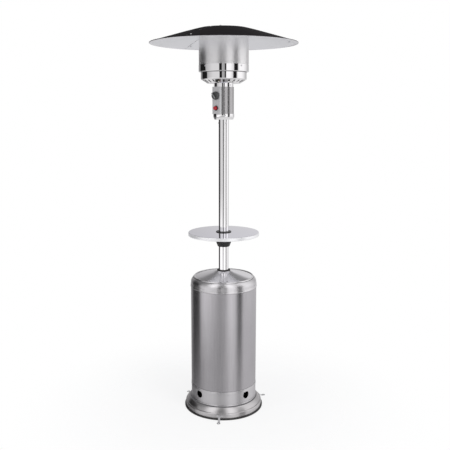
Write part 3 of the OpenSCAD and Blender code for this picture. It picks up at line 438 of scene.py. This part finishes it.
MATERIALS = {
    "brushed": metal("brushed_steel", (0.50, 0.485, 0.505), (0.60, 0.59, 0.61), (0.21, 0.26),
                     (1, 1, 0.012), 420.0, 0.00001, seed=1.0, streak=0.75),
    "band": metal("vent_band_steel", (0.65, 0.64, 0.655), (0.73, 0.72, 0.735), (0.40, 0.48),
                  (1, 1, 0.05), 420.0, 0.00003, seed=1.5, streak=0.6, spun=True),
    "spun": metal("spun_steel", (0.74, 0.73, 0.745), (0.84, 0.83, 0.845), (0.28, 0.34),
                  (0.35, 0.35, 1.2), 260.0, 0.00001, seed=2.0, spun=True),
    "skirt": metal("skirt_steel", (0.60, 0.59, 0.595), (0.68, 0.665, 0.67), (0.28, 0.34),
                   (0.35, 0.35, 1.2), 260.0, 0.00001, seed=2.2, spun=True),
    "dome": metal("domed_steel", (0.86, 0.85, 0.88), (0.94, 0.93, 0.955), (0.13, 0.17),
                  (0.35, 0.35, 1.2), 260.0, 0.000006, seed=2.5, spun=True),
    # Rolled beads and hems: lighter than the steel they are rolled from, a painted highlight along
    # each bead.
    "bead": metal("rolled_bead_painted_highlight", (0.84, 0.83, 0.845), (0.92, 0.91, 0.925), (0.16, 0.22),
                  (1, 1, 0.2), 300.0, 0.00001, seed=2.8),
    # Painted shade: near-black strips laid along the seams, where shadow falls between sheets of
    # steel.
    "painted_seam_shade": metal("seam_shadow", (0.10, 0.10, 0.105), (0.18, 0.175, 0.18), (0.5, 0.6),
                    (1, 1, 1), 400.0, 0.00001, smudge=40.0, seed=2.9, metallic=0.3),
    "pole": metal("pole_steel", (0.94, 0.935, 0.94), (0.98, 0.975, 0.98), (0.07, 0.10),
                  (1, 1, 0.05), 90.0, 0.0, seed=3.5, streak=0.4),
    "polished": metal("polished_steel", (0.92, 0.915, 0.92), (0.97, 0.965, 0.97), (0.02, 0.05),
                      (1, 1, 0.1), 90.0, 0.0, seed=3.0, streak=0.4),
    "satin": metal("satin_steel", (0.46, 0.452, 0.458), (0.53, 0.522, 0.528), (0.24, 0.30),
                   (1, 1, 0.02), 380.0, 0.00001, seed=4.0, streak=0.7),
    "panel": metal("panel_steel", (0.58, 0.58, 0.585), (0.66, 0.66, 0.665), (0.30, 0.38),
                   (1, 1, 0.05), 380.0, 0.00002, seed=4.5, metallic=0.6),
    "table": metal("table_steel", (0.885, 0.88, 0.96), (0.935, 0.93, 1.0), (0.03, 0.06),
                   (1, 1, 1), 120.0, 0.000006, seed=5.0, streak=0.4),
    "table_rim": metal("table_rim", (0.92, 0.92, 0.93), (0.98, 0.98, 0.985), (0.26, 0.36),
                       (1, 1, 1), 200.0, 0.00002, smudge=12.0, seed=5.5, metallic=0.45),
    "screen": metal("screen_steel", (0.96, 0.955, 0.96), (0.99, 0.985, 0.985), (0.28, 0.36),
                    (1, 1, 1), 300.0, 0.00001, seed=6.0),
    "liner": metal("liner_steel", (0.86, 0.855, 0.86), (0.94, 0.935, 0.94), (0.40, 0.55),
                   (1, 1, 1), 60.0, 0.00003, seed=6.5, metallic=0.5),
    "zinc": metal("zinc_plate", (0.66, 0.66, 0.68), (0.84, 0.84, 0.85), (0.22, 0.40),
                  (1, 1, 1), 400.0, 0.00006, smudge=60.0, seed=7.0),
    "brass": metal("brass", (0.62, 0.46, 0.20), (0.74, 0.57, 0.27), (0.20, 0.34),
                   (1, 1, 1), 300.0, 0.00004, smudge=50.0, seed=8.0),
    "reflector_under": metal("reflector_underside", (0.91, 0.915, 0.935), (0.95, 0.955, 0.975),
                             (0.38, 0.48), (1, 1, 1), 200.0, 0.00002, smudge=5.0, seed=9.0,
                             metallic=0.75),
    "rim": metal("reflector_rim", (0.86, 0.85, 0.88), (0.94, 0.93, 0.96), (0.22, 0.30),
                 (1, 1, 1), 200.0, 0.00002, smudge=12.0, seed=9.5),
    # The reflector's outside is near-black: a painted reflection of a dark ceiling, on a sheet that
    # is bare metal like its underside.
    "reflector_top": moulded("reflector_outside", (0.007, 0.0058, 0.007), (0.011, 0.009, 0.0105),
                             (0.5, 0.6), 700.0, 0.00004, 0.02, seed=10.0),
    # The reflector's hub disc is tan-brown: a painted reflection of warm surroundings.
    "hub": moulded("hub_disc", (0.24, 0.165, 0.125), (0.32, 0.225, 0.175), (0.35, 0.5),
                   600.0, 0.00005, 0.2, seed=11.0),
    "rubber": moulded("black_rubber", (0.028, 0.026, 0.026), (0.042, 0.040, 0.040), (0.55, 0.75),
                      700.0, 0.0002, 0.3, seed=12.0),
    "plastic": moulded("black_plastic", (0.013, 0.013, 0.014), (0.024, 0.024, 0.025),
                       (0.30, 0.42), 1100.0, 0.00008, 0.4, seed=13.0),
    "knob": moulded("knob_plastic", (0.020, 0.021, 0.021), (0.032, 0.034, 0.033), (0.12, 0.20),
                    1100.0, 0.00002, 0.9, seed=13.5),
    # The front of the knob's grip: a lighter grey than the black knob, a painted highlight.
    "knob_painted_highlight": moulded("knob_painted_highlight", (0.16, 0.165, 0.165), (0.22, 0.225, 0.225), (0.20, 0.30),
                         1100.0, 0.00002, 0.8, seed=13.7),
    "paint": moulded("black_paint", (0.014, 0.014, 0.015), (0.026, 0.025, 0.026), (0.36, 0.52),
                     500.0, 0.00012, 0.4, seed=14.0),
    "red": moulded("red_plastic", (0.36, 0.012, 0.022), (0.46, 0.022, 0.032), (0.16, 0.26),
                   1100.0, 0.00004, 0.5, seed=15.0),
    "ceramic": moulded("ceramic", (0.78, 0.76, 0.70), (0.84, 0.82, 0.78), (0.3, 0.45),
                       900.0, 0.00006, 0.5, seed=16.0),
    "hose": moulded("hose_rubber", (0.015, 0.014, 0.014), (0.025, 0.023, 0.022), (0.5, 0.7),
                    600.0, 0.0002, 0.3, seed=17.0),
}

FINISHES = {
    "rubber": ["base_edge_ring", "cap_bush"],
    "paint": ["base_plate", "support_leg_1", "support_leg_2", "support_leg_3", "post_socket"],
    "brushed": ["housing_sleeve"],
    "band": ["vent_band"],
    "skirt": ["base_skirt"],
    "spun": ["housing_cap"],
    "zinc": ["anchor_brackets", "anchor_screws", "leg_foot_bolts", "socket_bolts", "post_bolts",
             "head_screws", "valve_screws", "reflector_studs", "reflector_nuts", "seam_screws",
             "seam_nuts"],
    "pole": ["post"],
    "polished": ["head_socket", "head_neck", "burner_bowl", "emitter_band"],
    "panel": ["control_panel"],
    "knob": ["control_knob"],
    "satin": ["case_shell", "burner_deck", "mixer_tube", "burner_head", "pilot_burner"],
    "table": ["table_top"],
    "screen": ["emitter_top", "emitter_screen"],
    "brass": ["inlet_union", "hose_nuts", "gas_valve", "valve_stem", "supply_pipe", "injector",
              "pilot_tube", "thermocouple"],
    "plastic": ["table_hub", "table_flange_ring", "table_nut", "igniter_body",
                "igniter_bezel", "tilt_switch"],
    "red": ["igniter_button"],
    "ceramic": ["spark_electrode"],
    "hose": ["gas_hose", "ignition_lead"],
    "reflector_top": ["reflector_panel_1", "reflector_panel_2", "reflector_panel_3"],
    "hub": ["reflector_hub"],
}


WELD_DISTANCE = 0.000001


def finish_nodes():
    for finish, names in FINISHES.items():
        for name in names:
            obj = nodes[name]
            obj.data.materials.clear()
            obj.data.materials.append(MATERIALS[finish])
            shade_smooth(obj)
            weld = obj.modifiers.new("weld", "WELD")
            weld.merge_threshold = WELD_DISTANCE
            split_creases(obj)


finish_nodes()


def repaint(name, finish, wanted):
    """Gives a second finish to the faces of a node that wanted(centre, normal) picks."""
    mesh = nodes[name].data
    mesh.materials.append(MATERIALS[finish])
    last = len(mesh.materials) - 1
    for face in mesh.polygons:
        if wanted(face.center, face.normal):
            face.material_index = last


def radius(point):
    return math.hypot(point.x, point.y)


# Limits between two finishes of a node: distances from the Z axis, a distance along the knob's
# axis, and how far up a face looks, where 1 is straight up
UNDERSIDE_R, RIM_R, DOME_R = 0.4035, 0.4012, 0.1645
KNOB_AXIS = Vector((-0.642788, -0.766044, 0))
GRIP_FRONT = 0.0885
UNDERSIDE_UP_LEFT, UNDERSIDE_UP_RIGHT, RIM_UP, TABLE_UP = 0, 0.3, -0.1, 0.9


def is_underside(centre, normal):
    """On the right the panels' upright cut edges count as underside too; on the left they keep the
    near-black outside, as painted shade along the seams.
    """
    limit = UNDERSIDE_UP_RIGHT if centre.x > 0 else UNDERSIDE_UP_LEFT
    return normal.z < limit and radius(centre) < UNDERSIDE_R


# The panels keep the near-black painted reflection on top; the underside and the lower half of the
# rolled rim get bare metal.
for panel in FINISHES["reflector_top"]:
    repaint(panel, "reflector_under", is_underside)
    repaint(panel, "rim", lambda c, n: n.z < RIM_UP and radius(c) > RIM_R)
repaint("table_top", "table_rim", lambda c, n: n.z < TABLE_UP)
repaint("housing_cap", "dome", lambda c, n: radius(c) < DOME_R)
# The front faces of the knob's grip get the lighter grey of the painted highlight.
repaint("control_knob", "knob_painted_highlight", lambda c, n: c.dot(KNOB_AXIS) > GRIP_FRONT)


# ---------------------------------------------------------------- emitter screen
SCREEN_R = 0.1368
# Heights: the lower end, where the rows of holes start and stop, and the upper end
SCREEN_Z = (1.9412, 1.9745, 2.1268, 2.1372)
CELLS_ROUND = 116
CELL_ROWS = 24
HOLE_R = 0.0017
LINER = [(0.1335, 1.944), (0.1335, 2.136)]
LATHE_STEPS = 192


def make_screen():
    """The perforated sheet: staggered rows of round holes between two plain margins."""
    bm = bmesh.new()
    found = {}

    def point(half, z):
        key = (half % (2 * CELLS_ROUND), round(z, 6))
        if key not in found:
            turn = math.pi * key[0] / CELLS_ROUND
            found[key] = bm.verts.new((SCREEN_R * math.cos(turn), SCREEN_R * math.sin(turn), z))
        return found[key]

    low, first, last, high = SCREEN_Z
    step = (last - first) / CELL_ROWS
    for z0, z1 in ((low, first), (last, high)):
        for half in range(2 * CELLS_ROUND):
            bm.faces.new((point(half, z0), point(half + 1, z0), point(half + 1, z1),
                          point(half, z1)))
    width = 2 * math.pi / CELLS_ROUND
    for row in range(CELL_ROWS):
        z0 = first + row * step
        zm, z1 = z0 + step / 2, z0 + step
        for cell in range(CELLS_ROUND):
            h = 2 * cell + row % 2
            edge = [point(h, z0), point(h + 1, z0), point(h + 2, z0), point(h + 2, zm),
                    point(h + 2, z1), point(h + 1, z1), point(h, z1), point(h, zm)]
            # The hole has a corner for each point of its cell's edge, from the lower left on
            sides = len(edge)
            middle = (h + 1) * width / 2
            hole = []
            for k in range(sides):
                a = math.radians(-135 + 360 * k / sides)
                turn = middle + HOLE_R * math.cos(a) / SCREEN_R
                hole.append(bm.verts.new((SCREEN_R * math.cos(turn), SCREEN_R * math.sin(turn),
                                          zm + HOLE_R * math.sin(a))))
            for k in range(sides):
                j = (k + 1) % sides
                bm.faces.new((edge[k], edge[j], hole[j], hole[k]))
    screen = add_mesh("perforated_screen", bm)
    screen.data.materials.append(MATERIALS["screen"])
    shade_smooth(screen)
    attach(screen, "frame")
    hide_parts("emitter_screen")


def lathe(name, path, finish, body):
    """A surface of revolution about the Z axis, from a path of (radius, height)."""
    bm = bmesh.new()
    loops = vertex_rings(bm, path, LATHE_STEPS)
    for below, above in zip(loops, loops[1:]):
        for k in range(LATHE_STEPS):
            j = (k + 1) % LATHE_STEPS
            bm.faces.new((below[k], below[j], above[j], above[k]))
    obj = add_mesh(name, bm)
    obj.data.materials.append(MATERIALS[finish])
    shade_smooth(obj)
    split_creases(obj)
    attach(obj, body)


make_screen()
lathe("screen_liner", LINER, "liner", "frame")


# ---------------------------------------------------------------- rolled edges, and painted shade at the seams
def arc(x, z, r, start, end, steps=10):
    """Points of an arc, its angles in degrees from outwards."""
    turns = [math.radians(start + (end - start) * k / steps) for k in range(steps + 1)]
    return [(x + r * math.cos(t), z + r * math.sin(t)) for t in turns]


# Rolled beads and hems, coloured lighter than the sheets they are rolled from as a painted
# highlight, and thin near-black strips of painted shade along the seams where sheets of steel meet.
# Those on the vent band, the skirt and the bowl stay where they are when the housing lifts.
EDGES = {
    "housing": [
        ("cap_bead", arc(0.1688, 0.7846, 0.0048, -40, 150), "bead"),
        ("cap_bead_shade_line", arc(0.1438, 0.7478, 0.0472, 46.5, 49.5, 3), "painted_seam_shade"),
        ("cap_hem", arc(0.1907, 0.7305, 0.0017, -80, 80), "bead"),
        ("cap_hem_shade_line", [(0.19015, 0.7288), (0.19015, 0.7272)], "painted_seam_shade"),
        ("sleeve_hem", arc(0.1894, 0.1484, 0.0014, -80, 80), "bead"),
        ("sleeve_hem_shade_line", [(0.19015, 0.1518), (0.19015, 0.1499)], "painted_seam_shade"),
    ],
    "frame": [
        ("band_hem", [(0.1902, 0.1466), (0.1905, 0.1458), (0.1912, 0.1340), (0.1901, 0.1325)],
         "band"),
        ("band_foot", arc(0.1908, 0.0688, 0.0022, -80, 80), "bead"),
        ("skirt_shade_line", [(0.1922, 0.0652), (0.1937, 0.0643), (0.1975, 0.0619)], "painted_seam_shade"),
        ("bowl_shade_line", [(0.12665, 1.9372), (0.12665, 1.9345)], "painted_seam_shade"),
    ],
}

for body, pieces in EDGES.items():
    for name, path, finish in pieces:
        lathe(name, path, finish, body)
